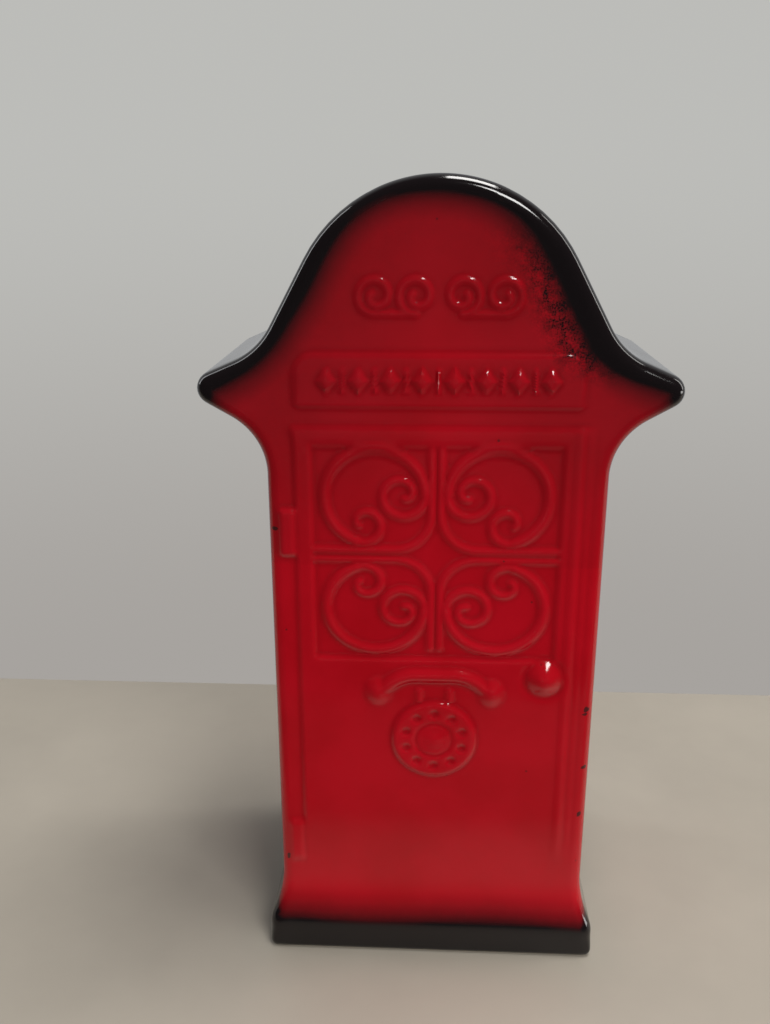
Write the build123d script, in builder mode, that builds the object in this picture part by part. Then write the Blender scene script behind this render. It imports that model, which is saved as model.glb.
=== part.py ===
"""Slip-cast ceramic money bank in the shape of a telephone booth.

The booth stands on z = 0, centred on the z axis, and its door faces -Y.
All sizes are millimetres. A round steel trap with a quarter-turn lock closes
the hole in the base. It is drawn unlocked, with both bolts pulled in.
"""
import math
import os

from build123d import *

# ---------------------------------------------------------------- driving dimensions
# Booth body
total_height = 180.0
body_width = 72.0
body_depth = 54.0
wall = 4.5
corner_radius = 2.4

# Roof: a crown arc, straight slopes, and eaves that curl out to a rounded tip
eave_width = 100.0
roof_height = 52.1
eave_under_angle = 29.7
eave_top_angle = 23.3
slope_angle = 61.2
crown_radius = 31.0
under_eave_radius = 14.0
tip_radius = 3.5
valley_radius = 16.0

# Plinth: a flat band below a hollow curve
flare = 3.0
band_height = 7.5
flare_height = 12.5
foot_rim = 7.0
foot_recess = 3.0
foot_edge_radius = 1.2

# Coin slot along the ridge
coin_slot_length = 38.0
coin_slot_width = 5.0

# Relief on the front, and plain windows on the sides
window_width = 52.0
window_height = 47.4
window_below_eave = 25.8
bar_width = 2.4
bar_relief = 0.8
side_window_width = 34.0
sign_bottom_width = 62.0
sign_top_width = 53.0
sign_height = 11.6
sign_above_eave = 6.5
sign_relief = 0.9
sign_taper = 15
stud_count = 8
gable_stud_count = 4
studs_above_eave = 28.5
gable_stud_length = 7.5
gable_stud_width = 3.6
gable_stud_pitch = 9.3
stile_spread = 61.2
stile_width = 3.6
stile_relief = 0.6
door_head_above_eave = 1.7
hinge_length = 10.6
hinge_width = 2.8
hinge_spread = 62.4
lower_hinge_height = 29.1
upper_hinge_below_eave = 21.2
knob_radius = 3.4
knob_relief = 2.7
knob_offset = 24.2
knob_height = 73.7
scroll_width = 1.9
scroll_centre = (12.4, 10.9)
scroll_radius = 8.8
scroll_start = 175
scroll_end = -62
curl_radii = (3.6, 3.1)
curl_sweep = 200
dial_radius = 9.0
dial_height = 60.0
finger_holes = 10
finger_hole_radius = 1.1
finger_circle_radius = 6.5
handset_span = 27.0
handset_rise = 74.4
cup_length = 6.0
cup_width = 3.8

# Trap plate in the base hole
hole_diameter = 36.0
flange_diameter = 44.0
sheet = 0.8
gasket_thickness = 0.5
barrel_diameter = 8.0
barrel_lip = 0.8
sleeve_wall = 1.15
sleeve_flange_diameter = 14.0
stem_diameter = 3.0
stem_flat = 2.3
keyway_length = 5.4
keyway_width = 1.6
keyway_depth = 4.6

# Lock
bolt_travel = 6.0
bolt_thickness = 1.5
bolt_width = 15.0
bolt_lift = 0.5
bolt_web = 1.6
pin_diameter = 2.4
disc_thickness = 1.0
case_length = 22.0
case_foot = 4.6
rivet_diameter = 2.0
rivet_head_diameter = 3.6
rivet_head_height = 0.6
clip_diameter = 6.4
clip_thickness = 0.6
washer_thickness = 0.3
washer_rise = 0.35

# Clearances
spigot_clearance = 0.3
seat_gap = 0.2
slide_gap = 0.1
run_gap = 0.05
press_gap = 0.02
pin_play = 0.25
stem_gap = 0.4

# ---------------------------------------------------------------- sizes that follow
half_width = body_width / 2
half_depth = body_depth / 2
eave_corner_height = total_height - roof_height
window_centre_height = eave_corner_height - window_below_eave
sign_bottom_height = eave_corner_height + sign_above_eave
gable_stud_height = eave_corner_height + studs_above_eave
door_head_height = eave_corner_height + door_head_above_eave
hinge_heights = (lower_hinge_height, eave_corner_height - upper_hinge_below_eave)
crown_centre_height = total_height - crown_radius
slope_lean = math.radians(90 - slope_angle)
flare_top = band_height + flare_height

floor_top = foot_recess + wall
hole_radius = hole_diameter / 2
spigot_radius = hole_radius - spigot_clearance
gasket_bottom = foot_recess - seat_gap - gasket_thickness
flange_bottom = gasket_bottom - sheet
web_top = floor_top + bolt_lift
web_bottom = web_top - sheet
bolt_bottom = web_top + slide_gap
bolt_top = bolt_bottom + bolt_thickness
case_inside_top = bolt_top + slide_gap
barrel_radius = barrel_diameter / 2
barrel_bottom = flange_bottom + sheet
sleeve_bottom = barrel_bottom + barrel_lip + slide_gap
sleeve_radius = barrel_radius + run_gap + sleeve_wall
stem_radius = stem_diameter / 2
pin_radius = pin_diameter / 2
pin_circle_radius = bolt_travel / 2 * math.sqrt(2)
disc_radius = pin_circle_radius + pin_radius + sheet
disc_top = case_inside_top + disc_thickness
washer_bottom = disc_top + run_gap
clip_bottom = washer_bottom + washer_rise + washer_thickness + run_gap
groove_bottom = clip_bottom - run_gap
groove_top = clip_bottom + clip_thickness + run_gap
stem_top = groove_top + sheet
bolt_reach = spigot_radius - bolt_lift

front_face = Plane.XZ.offset(half_depth)
window_face = Plane(origin=(0, -half_depth, window_centre_height), x_dir=(1, 0, 0), z_dir=(0, -1, 0))


def roof_corners():
    """Tip and valley corners of the roof outline, and its apex, before rounding."""
    under = math.radians(eave_under_angle)
    top = math.radians(eave_top_angle)
    half_wedge = (under + top) / 2
    tip_pull_back = tip_radius * (math.cos((under - top) / 2) / math.sin(half_wedge) - 1)
    tip_x = eave_width / 2 + tip_pull_back
    tip_z = eave_corner_height + (tip_x - half_width) * math.tan(under)
    over_crown = tip_z + tip_x * math.tan(top) - crown_centre_height
    valley_x = (crown_radius - over_crown * math.sin(slope_lean)) / (
        math.cos(slope_lean) - math.tan(top) * math.sin(slope_lean)
    )
    valley_z = tip_z + (tip_x - valley_x) * math.tan(top)
    apex_z = crown_centre_height + crown_radius / math.sin(slope_lean)
    return (tip_x, tip_z), (valley_x, valley_z), apex_z


def plinth_lines(reach):
    """The plinth's outline below flare_top, at a body half-size of reach."""
    curve_radius = -(flare_height**2 + flare**2) / (2 * flare)
    RadiusArc((reach, flare_top), (reach + flare, band_height), curve_radius)
    Polyline(
        (reach + flare, band_height), (reach + flare, 0), (-reach - flare, 0), (-reach - flare, band_height)
    )
    RadiusArc((-reach - flare, band_height), (-reach, flare_top), curve_radius)


def curl_centre(which, angle):
    """Centre of a small curl that runs on smoothly from the scroll's big arc at this angle."""
    inset = scroll_radius - curl_radii[which]
    turn = math.radians(angle)
    return (scroll_centre[0] + inset * math.cos(turn), scroll_centre[1] + inset * math.sin(turn))


def window_bars(width, height):
    """A window frame and its cross, as a flat sketch centred on its own middle."""
    Rectangle(width, height)
    Rectangle(width - 2 * bar_width, height - 2 * bar_width, mode=Mode.SUBTRACT)
    Rectangle(bar_width, height - bar_width)
    Rectangle(width - bar_width, bar_width)


# ---------------------------------------------------------------- booth shell
tip, valley, apex_height = roof_corners()
shoulder_x = half_width - wall
shoulder_z = crown_centre_height + (
    crown_radius - wall - shoulder_x * math.cos(slope_lean)
) / math.sin(slope_lean)
inner_apex = crown_centre_height + (crown_radius - wall) / math.sin(slope_lean)

with BuildPart() as booth_shell:
    # Front view: plinth, straight sides, eaves and crown
    with BuildSketch(Plane.XZ.offset(-half_depth - flare)):
        with BuildLine():
            FilletPolyline(
                (half_width, flare_top),
                (half_width, eave_corner_height),
                tip,
                valley,
                (0, apex_height),
                (-valley[0], valley[1]),
                (-tip[0], tip[1]),
                (-half_width, eave_corner_height),
                (-half_width, flare_top),
                radius=[
                    under_eave_radius,
                    tip_radius,
                    valley_radius,
                    crown_radius,
                    valley_radius,
                    tip_radius,
                    under_eave_radius,
                ],
            )
            plinth_lines(half_width)
        make_face()
    extrude(amount=body_depth + 2 * flare)

    # Side view: the same plinth, and a straight front and back
    with BuildSketch(Plane.YZ.offset(-eave_width / 2 - wall)):
        with BuildLine():
            Polyline(
                (half_depth, flare_top),
                (half_depth, total_height + wall),
                (-half_depth, total_height + wall),
                (-half_depth, flare_top),
            )
            plinth_lines(half_depth)
        make_face()
    extrude(amount=eave_width + 2 * wall, mode=Mode.INTERSECT)

    # Soft edges all round the front and back outlines, and around the band
    outline_edges = booth_shell.edges().filter_by(
        lambda edge: edge.bounding_box().size.Y < flare + 0.1
        and edge.bounding_box().size.X < body_width - 0.1
        and edge.bounding_box().size.length > 0.1
    )
    fillet(outline_edges, corner_radius)
    fillet(booth_shell.edges().group_by(Axis.Z)[0], foot_edge_radius)

    # Coin slot along the ridge
    with BuildSketch(Plane.XY.offset(crown_centre_height)):
        SlotOverall(coin_slot_length, coin_slot_width, rotation=90)
    extrude(amount=crown_radius + 1, mode=Mode.SUBTRACT)

    # Hollow inside, a wall's thickness from the outside
    with BuildSketch(Plane.XZ.offset(-half_depth + wall)):
        with BuildLine():
            FilletPolyline(
                (-shoulder_x, floor_top),
                (shoulder_x, floor_top),
                (shoulder_x, shoulder_z),
                (0, inner_apex),
                (-shoulder_x, shoulder_z),
                (-shoulder_x, floor_top),
                radius=[wall / 2, wall / 2, wall, crown_radius - wall, wall],
                close=True,
            )
        make_face()
    extrude(amount=body_depth - 2 * wall, mode=Mode.SUBTRACT)

    # Recess inside the foot rim, and the hole that the trap closes
    with BuildSketch(Plane.XY):
        RectangleRounded(
            body_width + 2 * flare - 2 * foot_rim, body_depth + 2 * flare - 2 * foot_rim, wall
        )
    extrude(amount=foot_recess, mode=Mode.SUBTRACT)
    with BuildSketch(Plane.XY):
        Circle(hole_radius)
    extrude(amount=floor_top + 1, mode=Mode.SUBTRACT)

    # Window with its bars, and one C-scroll in each pane, mirrored both ways
    with BuildSketch(window_face):
        window_bars(window_width, window_height)
        with BuildLine():
            CenterArc(scroll_centre, scroll_radius, scroll_end, scroll_start - scroll_end)
            CenterArc(curl_centre(0, scroll_start), curl_radii[0], scroll_start, curl_sweep)
            CenterArc(curl_centre(1, scroll_end), curl_radii[1], scroll_end - curl_sweep, curl_sweep)
            mirror(about=Plane.YZ)
            mirror(about=Plane.XZ)
        trace(line_width=scroll_width)
    extrude(amount=bar_relief)

    # Door stiles, door head, hinges and knob
    with BuildSketch(front_face):
        with Locations((0, (door_head_height + flare_top) / 2)):
            Rectangle(stile_spread + stile_width, door_head_height - flare_top)
            Rectangle(stile_spread - stile_width, door_head_height - flare_top, mode=Mode.SUBTRACT)
        with Locations((0, door_head_height)):
            Rectangle(stile_spread + stile_width, bar_width)
    extrude(amount=stile_relief)
    for hinge_height in hinge_heights:
        with BuildSketch(front_face):
            with Locations((-hinge_spread / 2, hinge_height)):
                SlotOverall(hinge_length, hinge_width, rotation=90)
        extrude(amount=hinge_width / 2)
    knob_ball_radius = (knob_radius**2 + knob_relief**2) / (2 * knob_relief)
    with Locations((knob_offset, knob_ball_radius - half_depth - knob_relief, knob_height)):
        Sphere(knob_ball_radius)

    # Sign plate under the gable, with a row of plain studs, and four studs above it
    with BuildSketch(front_face):
        with BuildLine():
            Polyline(
                (-sign_bottom_width / 2, sign_bottom_height),
                (sign_bottom_width / 2, sign_bottom_height),
                (sign_top_width / 2, sign_bottom_height + sign_height),
                (-sign_top_width / 2, sign_bottom_height + sign_height),
                close=True,
            )
        make_face()
    extrude(amount=sign_relief, taper=sign_taper)
    with BuildSketch(front_face.offset(sign_relief)):
        with Locations((0, sign_bottom_height + sign_height / 2)):
            with GridLocations(sign_top_width / (stud_count + 1), 0, stud_count, 1):
                SlotOverall(sign_height / 2, bar_width, rotation=90)
    extrude(amount=bar_relief / 2)
    with BuildSketch(front_face):
        with Locations((0, gable_stud_height)):
            with GridLocations(gable_stud_pitch, 0, gable_stud_count, 1):
                SlotOverall(gable_stud_length, gable_stud_width, rotation=90)
    extrude(amount=bar_relief)

    # Emblem on the lower door: a plain dial under a handset
    with BuildSketch(front_face):
        with Locations((0, dial_height)):
            Circle(dial_radius)
            with PolarLocations(finger_circle_radius, finger_holes):
                Circle(finger_hole_radius, mode=Mode.SUBTRACT)
        with Locations((0, handset_rise)):
            SlotOverall(handset_span, bar_width)
        with Locations((-handset_span / 2 + bar_width, handset_rise - bar_width),
                       (handset_span / 2 - bar_width, handset_rise - bar_width)):
            SlotOverall(cup_length, cup_width, rotation=90)
    extrude(amount=bar_relief)

    # Side windows
    for side in (1, -1):
        with BuildSketch(Plane.YZ.offset(side * half_width)):
            with Locations((0, window_centre_height)):
                window_bars(side_window_width, window_height)
        extrude(amount=side * bar_relief)

# ---------------------------------------------------------------- trap plate
with BuildPart() as trap_plate:
    with BuildSketch(Plane.XY.offset(flange_bottom)):
        Circle(flange_diameter / 2)
    extrude(amount=sheet)
    with BuildSketch(Plane.XY.offset(flange_bottom)):
        Circle(spigot_radius)
    extrude(amount=web_top - flange_bottom)
    with BuildSketch(Plane.XY.offset(flange_bottom)):
        Circle(spigot_radius - sheet)
    extrude(amount=web_bottom - flange_bottom, mode=Mode.SUBTRACT)
    fillet(trap_plate.edges().filter_by(GeomType.CIRCLE).sort_by(Axis.Z)[-1], sheet)
    with BuildSketch(Plane.XY.offset(web_bottom)):
        Circle(sleeve_radius + press_gap)
        rivet_spread_x = case_length - case_foot - rivet_diameter
        rivet_spread_y = bolt_width + 2 * slide_gap + sheet + case_foot + rivet_diameter / 2
        with GridLocations(rivet_spread_x, rivet_spread_y, 2, 2):
            Circle(rivet_diameter / 2 + press_gap)
    extrude(amount=sheet, mode=Mode.SUBTRACT)

with BuildPart() as trap_gasket:
    with BuildSketch(Plane.XY.offset(gasket_bottom)):
        Circle(flange_diameter / 2 - sheet / 2)
        Circle(spigot_radius + seat_gap, mode=Mode.SUBTRACT)
    extrude(amount=gasket_thickness)

# ---------------------------------------------------------------- key barrel and its sleeve
with BuildPart() as barrel_sleeve:
    with BuildSketch(Plane.XY.offset(sleeve_bottom)):
        Circle(sleeve_radius)
    extrude(amount=web_top - sleeve_bottom)
    with BuildSketch(Plane.XY.offset(web_bottom - sheet)):
        Circle(sleeve_flange_diameter / 2)
    extrude(amount=sheet)
    with BuildSketch(Plane.XY.offset(sleeve_bottom)):
        Circle(barrel_radius + run_gap)
    extrude(amount=web_top - sleeve_bottom, mode=Mode.SUBTRACT)

with BuildPart() as key_barrel:
    with BuildSketch(Plane.XY.offset(barrel_bottom)):
        Circle(barrel_radius + barrel_lip)
    extrude(amount=barrel_lip)
    with BuildSketch(Plane.XY.offset(barrel_bottom + barrel_lip)):
        Circle(barrel_radius)
    extrude(amount=web_top - barrel_bottom - barrel_lip)
    with BuildSketch(Plane.XY.offset(web_top)):
        Circle(stem_radius)
        Rectangle(stem_diameter, stem_flat, mode=Mode.INTERSECT)
    extrude(amount=stem_top - web_top)
    with BuildSketch(Plane.XY.offset(groove_bottom)):
        Circle(stem_radius + sheet)
        Circle(stem_flat / 2 - press_gap, mode=Mode.SUBTRACT)
    extrude(amount=groove_top - groove_bottom, mode=Mode.SUBTRACT)
    with BuildSketch(Plane.XY.offset(barrel_bottom)):
        SlotOverall(keyway_length, keyway_width, rotation=90)
    extrude(amount=keyway_depth, mode=Mode.SUBTRACT)

with BuildPart() as drive_disc:
    with BuildSketch(Plane.XY.offset(case_inside_top)):
        Circle(disc_radius)
    extrude(amount=disc_thickness)
    # Two pins under the disc, one for each bolt
    with BuildSketch(Plane.XY.offset(bolt_bottom + slide_gap)):
        with PolarLocations(pin_circle_radius, 2, start_angle=135):
            Circle(pin_radius)
    extrude(amount=case_inside_top - bolt_bottom - slide_gap)
    with BuildSketch(Plane.XY.offset(bolt_bottom)):
        Circle(stem_radius + run_gap)
        Rectangle(stem_diameter + 2 * run_gap, stem_flat + 2 * run_gap, mode=Mode.INTERSECT)
    extrude(amount=disc_top - bolt_bottom, mode=Mode.SUBTRACT)

with BuildPart() as spring_washer:
    # A shallow cone, higher at the stem
    with BuildSketch(Plane.XZ):
        with BuildLine():
            inner = stem_radius + stem_gap / 2
            outer = clip_diameter / 2
            Polyline(
                (inner, washer_bottom + washer_rise),
                (outer, washer_bottom),
                (outer, washer_bottom + washer_thickness),
                (inner, washer_bottom + washer_rise + washer_thickness),
                close=True,
            )
        make_face()
    revolve(axis=Axis.Z)

with BuildPart() as barrel_clip:
    with BuildSketch(Plane.XY.offset(clip_bottom)):
        Circle(clip_diameter / 2)
        Circle(stem_flat / 2, mode=Mode.SUBTRACT)
        with Locations((0, -clip_diameter / 2)):
            Rectangle(stem_flat * 0.8, clip_diameter, mode=Mode.SUBTRACT)
    extrude(amount=clip_thickness)

# ---------------------------------------------------------------- lock case and rivets
case_inside_half = bolt_width / 2 + slide_gap
case_outside_half = case_inside_half + sheet

with BuildPart() as lock_case:
    with BuildSketch(Plane.XY.offset(web_top)):
        Rectangle(case_length, 2 * (case_outside_half + case_foot))
    extrude(amount=sheet)
    with BuildSketch(Plane.XY.offset(web_top)):
        Rectangle(case_length, 2 * case_outside_half)
    extrude(amount=case_inside_top + sheet - web_top)
    with BuildSketch(Plane.XY.offset(web_top)):
        Rectangle(case_length, 2 * case_inside_half)
    extrude(amount=case_inside_top - web_top, mode=Mode.SUBTRACT)
    with BuildSketch(Plane.XY.offset(case_inside_top)):
        Circle(disc_radius + spigot_clearance)
    extrude(amount=sheet, mode=Mode.SUBTRACT)
    with BuildSketch(Plane.XY.offset(web_top)):
        with GridLocations(rivet_spread_x, rivet_spread_y, 2, 2):
            Circle(rivet_diameter / 2 + press_gap)
    extrude(amount=sheet, mode=Mode.SUBTRACT)
    foot_corners = lock_case.edges().filter_by(Axis.Z).group_by(
        lambda edge: round(abs(edge.center().Y), 2)
    )[-1]
    fillet(foot_corners, sheet * 2)

with BuildPart() as case_rivets:
    with BuildSketch(Plane.XY.offset(web_bottom - rivet_head_height)):
        with GridLocations(rivet_spread_x, rivet_spread_y, 2, 2):
            Circle(rivet_head_diameter / 2)
    extrude(amount=rivet_head_height)
    with BuildSketch(Plane.XY.offset(web_bottom)):
        with GridLocations(rivet_spread_x, rivet_spread_y, 2, 2):
            Circle(rivet_diameter / 2)
    extrude(amount=2 * sheet)
    with BuildSketch(Plane.XY.offset(web_top + sheet)):
        with GridLocations(rivet_spread_x, rivet_spread_y, 2, 2):
            Circle(rivet_head_diameter / 2)
    extrude(amount=rivet_head_height)
    fillet(case_rivets.faces().sort_by(Axis.Z)[-4:].edges(), rivet_head_height * 0.6)

# ---------------------------------------------------------------- bolts
# Each bolt is a tongue with an arm that reaches past the stem to its pin.
# The two are the same piece, turned half a turn about the stem.
notch_half = pin_radius + pin_play
arm_inner = stem_radius + stem_gap
arm_tip = bolt_travel / 2 + notch_half + bolt_web
notch_depth = pin_circle_radius + notch_half
tongue_start = arm_tip + bolt_lift


def bolt_sketch():
    """The bolt that points to +X, pulled in."""
    with BuildSketch(Plane.XY.offset(bolt_bottom)) as outline:
        with Locations(((tongue_start + bolt_reach) / 2, 0)):
            Rectangle(bolt_reach - tongue_start, bolt_width)
        with Locations(((bolt_reach - arm_tip) / 2, (bolt_width / 2 + arm_inner) / 2)):
            Rectangle(bolt_reach + arm_tip, bolt_width / 2 - arm_inner)
        Circle(bolt_reach, mode=Mode.INTERSECT)
        with Locations((-bolt_travel / 2, notch_depth / 2)):
            Rectangle(2 * notch_half, notch_depth, mode=Mode.SUBTRACT)
    return outline


with BuildPart() as bolt_right:
    add(bolt_sketch().sketch)
    extrude(amount=bolt_thickness)

with BuildPart() as bolt_left:
    add(bolt_sketch().sketch.rotate(Axis.Z, 180))
    extrude(amount=bolt_thickness)

# ---------------------------------------------------------------- write the pieces
pieces = {
    "booth_shell": booth_shell,
    "trap_plate": trap_plate,
    "trap_gasket": trap_gasket,
    "barrel_sleeve": barrel_sleeve,
    "key_barrel": key_barrel,
    "drive_disc": drive_disc,
    "spring_washer": spring_washer,
    "barrel_clip": barrel_clip,
    "lock_case": lock_case,
    "case_rivets": case_rivets,
    "bolt_left": bolt_left,
    "bolt_right": bolt_right,
}

os.makedirs("parts", exist_ok=True)
for name, piece in pieces.items():
    piece.part.label = name
    export_step(piece.part, f"parts/{name}.step")
    print(f"{name}: {piece.part.volume:.1f} mm3, {len(piece.part.solids())} solid(s)")
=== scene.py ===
# %% [markdown]
# # A glazed ceramic bank in the shape of a telephone booth
# The real thing is one slip-cast shell with a red gloss glaze, black sprayed on
# along the roof edge and the plinth, and a pressed steel trap with a small lock
# underneath. The measured frame comes first: it brings in every piece at its true
# size. The lock's pieces keep those shapes and only get metal and rubber finishes.
# The shell is made again here, because its charm is in soft relief and thick glaze.

# %% Load the measured frame
import math

import bmesh
import bpy
import numpy as np
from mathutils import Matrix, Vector


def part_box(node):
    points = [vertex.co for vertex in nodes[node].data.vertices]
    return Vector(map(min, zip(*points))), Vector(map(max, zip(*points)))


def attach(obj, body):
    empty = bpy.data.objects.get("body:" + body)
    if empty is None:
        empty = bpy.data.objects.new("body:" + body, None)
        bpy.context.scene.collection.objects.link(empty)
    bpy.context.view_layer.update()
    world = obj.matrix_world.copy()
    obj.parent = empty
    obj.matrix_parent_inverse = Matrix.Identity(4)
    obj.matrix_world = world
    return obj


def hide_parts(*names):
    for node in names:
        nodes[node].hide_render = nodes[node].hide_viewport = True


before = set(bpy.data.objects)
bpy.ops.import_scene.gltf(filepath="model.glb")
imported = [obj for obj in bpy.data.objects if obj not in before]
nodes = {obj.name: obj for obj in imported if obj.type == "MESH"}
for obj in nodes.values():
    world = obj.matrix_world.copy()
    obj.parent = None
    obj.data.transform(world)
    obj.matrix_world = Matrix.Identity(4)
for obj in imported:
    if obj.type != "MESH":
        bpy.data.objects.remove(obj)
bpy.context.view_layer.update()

mm = 0.001

# %% [markdown]
# ## The outline of the booth
# Seen from the front, the booth has a plinth with a hollow curve above its band,
# straight sides, eaves that curl out to a rounded tip, and a crown. A potter would
# cut this outline as a template. Here it is a chain of corners, each rounded with its
# own radius, sampled finely. Everything else (edges, spray, rows of the mesh) is
# measured from this one line, in millimetres.

# %% Sizes of the shell
low, high = (np.array(corner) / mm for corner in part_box("booth_shell"))
total_height = high[2]
flare = 3.0
half_width = 36.0
half_depth = high[1] - flare
band_height = 7.5
flare_height = 12.5
plinth_corner = 5.5
eaves_height = 127.9
tip_corner = (54.33, 138.36)
valley_corner = (37.16, 145.75)
apex_height = 213.35
crown_radius = 31.0
crown_centre = total_height - crown_radius
edge_radius = 2.6
foot_corner = 1.6
wall = 4.5
print("shell", low.round(2), high.round(2))


# %% Round the corners of a chain of points
def rounded_chain(corners, radii, steps=24):
    """Points along a chain of straight lines whose inner corners are rounded."""
    corners = [np.array(corner, float) for corner in corners]
    chain = [corners[0]]
    for before, corner, after, radius in zip(corners, corners[1:], corners[2:], radii):
        if radius == 0:
            chain.append(corner)
            continue
        back = (before - corner) / np.linalg.norm(before - corner)
        on = (after - corner) / np.linalg.norm(after - corner)
        half = math.acos(np.clip(back @ on, -1, 1)) / 2
        middle = corner + (back + on) / np.linalg.norm(back + on) * radius / math.sin(half)
        first = corner + back * radius / math.tan(half) - middle
        last = corner + on * radius / math.tan(half) - middle
        start = math.atan2(first[1], first[0])
        turn = math.atan2(last[1], last[0]) - start
        turn = (turn + math.pi) % (2 * math.pi) - math.pi
        for share in np.linspace(0, 1, steps):
            angle = start + turn * share
            chain.append(middle + radius * np.array([math.cos(angle), math.sin(angle)]))
    chain.append(corners[-1])
    return np.array(chain)


three_sides = rounded_chain([(0, 0), (1, 0), (1, 1), (0, 1)], [0.2, 0.2])
print("three sides of a rounded square take", len(three_sides), "points")


# %% The right half of the outline, foot to crown
plinth_radius = (flare_height**2 + flare**2) / (2 * flare)
plinth_turn = math.asin(flare_height / plinth_radius)
plinth_curve = [
    (
        half_width + plinth_radius * (1 - math.cos(angle)),
        band_height + flare_height - plinth_radius * math.sin(angle),
    )
    for angle in np.linspace(plinth_turn, 0, 10)
]
corners = [(half_width + flare - foot_corner, 0), (half_width + flare, 0), *plinth_curve]
radii = [foot_corner, plinth_corner] + [0] * (len(plinth_curve) - 1)
corners += [(half_width, eaves_height), tip_corner, valley_corner, (0, apex_height)]
corners.append((-valley_corner[0], valley_corner[1]))
radii += [14.0, 3.5, 16.0, crown_radius]
chain = rounded_chain(corners, radii)
run = np.concatenate([[0], np.cumsum(np.linalg.norm(np.diff(chain, axis=0), axis=1))])
fine_step = 0.05
fine_run = np.arange(0, run[-1], fine_step)
fine_line = np.stack([np.interp(fine_run, run, chain[:, axis]) for axis in (0, 1)], 1)
crown_start = 12.0
past_tip = np.argmax(fine_line[:, 0])
line_end = past_tip + np.argmax(fine_line[past_tip:, 0] < crown_start)
print("outline", len(fine_line), "samples, widest", round(fine_line[:, 0].max(), 2))


# %% [markdown]
# ## Relief as a height map
# The door, window, scrolls, hinges, knob, sign and emblem are not separate pieces on
# the real bank: the mould has them cut into it, and glaze softens every edge. Such
# relief could be sculpted, or built as solids and joined. A height map is closer to
# how a mould maker thinks: for each point of the face it says how far the clay stands
# out, and soft steps and rounded ridges are easy to blend. The lettering and the
# postal sign of such booths are left out. Diamonds, running spirals and a dial with a
# handset, all plain ornament, take their places.

# %% Soft steps, pads and ridges
def soft_step(value, edge, softness):
    """0 below the edge, 1 above it, with a smooth rise this wide."""
    share = np.clip((value - edge) / softness + 0.5, 0, 1)
    return share * share * (3 - 2 * share)


def pad(x, z, left, right, bottom, top, softness):
    """A raised rectangle with soft edges."""
    across = soft_step(x, left, softness) * (1 - soft_step(x, right, softness))
    return across * soft_step(z, bottom, softness) * (1 - soft_step(z, top, softness))


def crest(distance, half_width):
    """A rounded ridge, 1 on its line and 0 from half_width on."""
    share = np.clip(distance / half_width, 0, 1)
    return (1 - share**2) ** 2


def ridge_along(x, z, line, half_width, height):
    """Height of a ridge along a line of points; width and height may vary on the way."""
    line = np.asarray(line)
    half_width = np.broadcast_to(half_width, len(line))
    height = np.broadcast_to(height, len(line))
    result = np.zeros_like(x)
    reach = half_width.max()
    near = (
        (x > line[:, 0].min() - reach) & (x < line[:, 0].max() + reach)
        & (z > line[:, 1].min() - reach) & (z < line[:, 1].max() + reach)
    )
    if near.any():
        gap = np.hypot(x[near][:, None] - line[:, 0], z[near][:, None] - line[:, 1])
        result[near] = (crest(gap, half_width) * height).max(1)
    return result


print("a ridge at its line, half way and at its edge:", crest(np.array([0, 0.5, 1.0]), 1.0).round(2))


# %% Lines for the ridges to follow
def even(line, step=0.35):
    """The same line with points this far apart."""
    line = np.asarray(line, float)
    far = np.concatenate([[0], np.cumsum(np.linalg.norm(np.diff(line, axis=0), axis=1))])
    marks = np.linspace(0, far[-1], int(far[-1] / step) + 2)
    return np.stack([np.interp(marks, far, line[:, axis]) for axis in (0, 1)], 1)


def arc(centre, radius, start, end, count=60):
    """Points on an arc, angles in degrees."""
    angles = np.radians(np.linspace(start, end, count))
    return np.stack([centre[0] + radius * np.cos(angles), centre[1] + radius * np.sin(angles)], 1)


def curl(centre, radius, start, quarters, shrink, sense, count=60):
    """A spiral that tightens as it turns; sense 1 is counter-clockwise."""
    turned = np.linspace(0, quarters, count)
    angles = math.radians(start) + sense * turned * math.pi / 2
    reach = radius * (1 - (turned / shrink) ** 2)
    return np.stack([centre[0] + reach * np.cos(angles), centre[1] + reach * np.sin(angles)], 1)


print("a full arc is", len(even(arc((0, 0), 1, 0, 360))), "points once it is even")

# %% The window's scrolls, one quarter drawn and mirrored to the rest
window_middle = 102.4
window_half = 26.3
scroll_middle = (13.0, 12.9)
scroll_radius = 10.7
scroll_end = -68
hook_inset = 6.6
turn = math.radians(scroll_end)
hook_middle = (scroll_middle[0] + hook_inset * math.cos(turn),
               scroll_middle[1] + hook_inset * math.sin(turn))
scroll_back = arc(scroll_middle, scroll_radius, 175, scroll_end)
scroll_curl = curl((7.2, 13.4), 4.9, 180, 4.7, 5.2, 1)
scroll_hook = curl(hook_middle, scroll_radius - hook_inset, scroll_end, 3.4, 3.9, -1)
thinning = np.linspace(1.6, 1.15, 60)
pane_corner = even(rounded_chain([(1.0, 23), (1.0, 1.1), (25.5, 1.1)], [8.0]))


def window_relief(x, z):
    """Pane edges and scrolls; the lower pair is a little flatter than the upper."""
    across = np.abs(x)
    up = np.abs(z - window_middle) / np.where(z < window_middle, 0.95, 1.0)
    scrolls = np.maximum.reduce([
        ridge_along(across, up, scroll_back, 1.8, 0.78),
        ridge_along(across, up, scroll_curl, thinning, 0.62),
        ridge_along(across, up, scroll_hook, thinning, 0.62),
    ])
    edges = ridge_along(across, up, pane_corner, 1.4, 0.55)
    return np.maximum(scrolls, edges)


print("one quarter's lines have", [len(line) for line in (scroll_back, scroll_curl, scroll_hook)], "points")


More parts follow.
